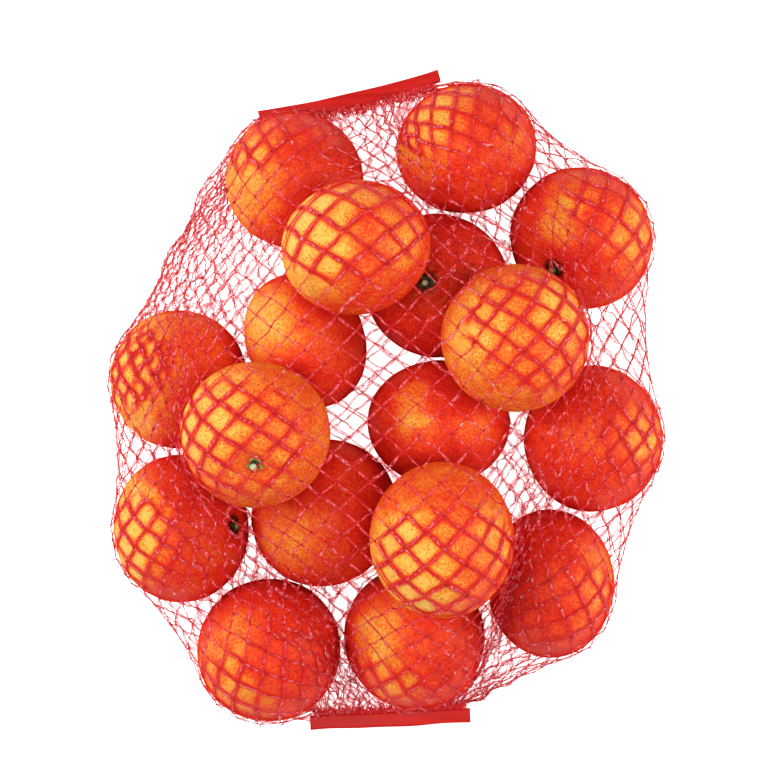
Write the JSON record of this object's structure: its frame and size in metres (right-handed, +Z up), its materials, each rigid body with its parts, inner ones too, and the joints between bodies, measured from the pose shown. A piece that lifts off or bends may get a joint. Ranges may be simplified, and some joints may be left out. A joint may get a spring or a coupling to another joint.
{
  "type": "mesh produce bag",
  "caption": "Knitted diamond-net produce bag filled with two layers of oranges and closed at both ends by a folded strip of plastic tape, lying flat.",
  "frame": {"origin": "on the flat resting face, below the middle of the fruit", "axes": "+Z up from the resting face, +Y towards the top tape, +X to the right when the bag is seen from above with the top tape away from the viewer"},
  "size_m": [0.2823, 0.3436, 0.1269],
  "materials": {
    "net": "satin",
    "tape": "satin",
    "peel": "satin",
    "stem": "matte"
  },
  "bodies": {
    "net": {"net_sleeve": "net"},
    "top_tape": {"top_tape": "tape"},
    "bottom_tape": {"bottom_tape": "tape"},
    "fruit_01": {"orange_01": "peel", "calyx_01": "stem"},
    "fruit_02": {"orange_02": "peel", "calyx_02": "stem"},
    "fruit_03": {"orange_03": "peel", "calyx_03": "stem"},
    "fruit_04": {"orange_04": "peel", "calyx_04": "stem"},
    "fruit_05": {"orange_05": "peel", "calyx_05": "stem"},
    "fruit_06": {"orange_06": "peel", "calyx_06": "stem"},
    "fruit_07": {"orange_07": "peel", "calyx_07": "stem"},
    "fruit_08": {"orange_08": "peel", "calyx_08": "stem"},
    "fruit_09": {"orange_09": "peel", "calyx_09": "stem"},
    "fruit_10": {"orange_10": "peel", "calyx_10": "stem"},
    "fruit_11": {"orange_11": "peel", "calyx_11": "stem"},
    "fruit_12": {"orange_12": "peel", "calyx_12": "stem"},
    "fruit_13": {"orange_13": "peel", "calyx_13": "stem"},
    "fruit_14": {"orange_14": "peel", "calyx_14": "stem"},
    "fruit_15": {"orange_15": "peel", "calyx_15": "stem"},
    "fruit_16": {"orange_16": "peel", "calyx_16": "stem"},
    "fruit_17": {"orange_17": "peel", "calyx_17": "stem"}
  },
  "joints": [
    {"name": "top_tape_fold", "type": "hinge", "parent": "net", "child": "top_tape", "pos_m": [-0.0181, 0.1516, 0.009], "axis": [0.9711, 0.2385, 0], "range_deg": [-75, 10], "stiffness_Nm_per_rad": 0.001},
    {"name": "bottom_tape_fold", "type": "hinge", "parent": "net", "child": "bottom_tape", "pos_m": [0.0016, -0.1619, 0.009], "axis": [-0.999, -0.0454, 0], "range_deg": [-75, 60], "stiffness_Nm_per_rad": 0.001},
    {"name": "fruit_01_turn", "type": "hinge", "parent": "net", "child": "fruit_01", "pos_m": [-0.0464, 0.1108, 0.03474], "axis": [-0.2432, -0.0885, -0.9659], "continuous": true},
    {"name": "fruit_02_turn", "type": "hinge", "parent": "net", "child": "fruit_02", "pos_m": [-0.015, 0.073, 0.08901], "axis": [-0.171, 0.9698, -0.1736], "continuous": true},
    {"name": "fruit_03_turn", "type": "hinge", "parent": "net", "child": "fruit_03", "pos_m": [0.04, 0.1264, 0.03726], "axis": [-0.171, 0.9698, -0.1736], "continuous": true},
    {"name": "fruit_04_turn", "type": "hinge", "parent": "net", "child": "fruit_04", "pos_m": [0.0976, 0.0813, 0.03666], "axis": [-0.4988, -0.5349, 0.682], "continuous": true},
    {"name": "fruit_05_turn", "type": "hinge", "parent": "net", "child": "fruit_05", "pos_m": [0.0252, 0.0576, 0.03425], "axis": [-0.1903, 0.0133, 0.9816], "continuous": true},
    {"name": "fruit_06_turn", "type": "hinge", "parent": "net", "child": "fruit_06", "pos_m": [0.061, 0.03, 0.08682], "axis": [0.1504, 0.0868, -0.9848], "continuous": true},
    {"name": "fruit_07_turn", "type": "hinge", "parent": "net", "child": "fruit_07", "pos_m": [-0.1046, 0.0104, 0.03444], "axis": [-0.5, 0, -0.866], "continuous": true},
    {"name": "fruit_08_turn", "type": "hinge", "parent": "net", "child": "fruit_08", "pos_m": [-0.041, 0.03, 0.037], "axis": [-0.89, -0.4341, -0.1392], "continuous": true},
    {"name": "fruit_09_turn", "type": "hinge", "parent": "net", "child": "fruit_09", "pos_m": [-0.063, -0.016, 0.0844], "axis": [0.0534, -0.4351, 0.8988], "continuous": true},
    {"name": "fruit_10_turn", "type": "hinge", "parent": "net", "child": "fruit_10", "pos_m": [0.026, -0.0113, 0.03776], "axis": [0, -0.9903, -0.1392], "continuous": true},
    {"name": "fruit_11_turn", "type": "hinge", "parent": "net", "child": "fruit_11", "pos_m": [0.1037, -0.0194, 0.03703], "axis": [-0.7071, 0, -0.7071], "continuous": true},
    {"name": "fruit_12_turn", "type": "hinge", "parent": "net", "child": "fruit_12", "pos_m": [-0.1032, -0.0644, 0.03832], "axis": [0.9101, 0.0796, 0.4067], "continuous": true},
    {"name": "fruit_13_turn", "type": "hinge", "parent": "net", "child": "fruit_13", "pos_m": [-0.0316, -0.0566, 0.03703], "axis": [0.4545, -0.4545, -0.766], "continuous": true},
    {"name": "fruit_14_turn", "type": "hinge", "parent": "net", "child": "fruit_14", "pos_m": [0.0265, -0.0665, 0.08364], "axis": [-0.7631, -0.0668, -0.6428], "continuous": true},
    {"name": "fruit_15_turn", "type": "hinge", "parent": "net", "child": "fruit_15", "pos_m": [-0.0595, -0.1259, 0.03531], "axis": [0, 0.2588, -0.9659], "continuous": true},
    {"name": "fruit_16_turn", "type": "hinge", "parent": "net", "child": "fruit_16", "pos_m": [0.0138, -0.1196, 0.03521], "axis": [0.4226, 0, -0.9063], "continuous": true},
    {"name": "fruit_17_turn", "type": "hinge", "parent": "net", "child": "fruit_17", "pos_m": [0.082, -0.092, 0.03905], "axis": [-0.9945, 0, -0.1045], "continuous": true}
  ]
}
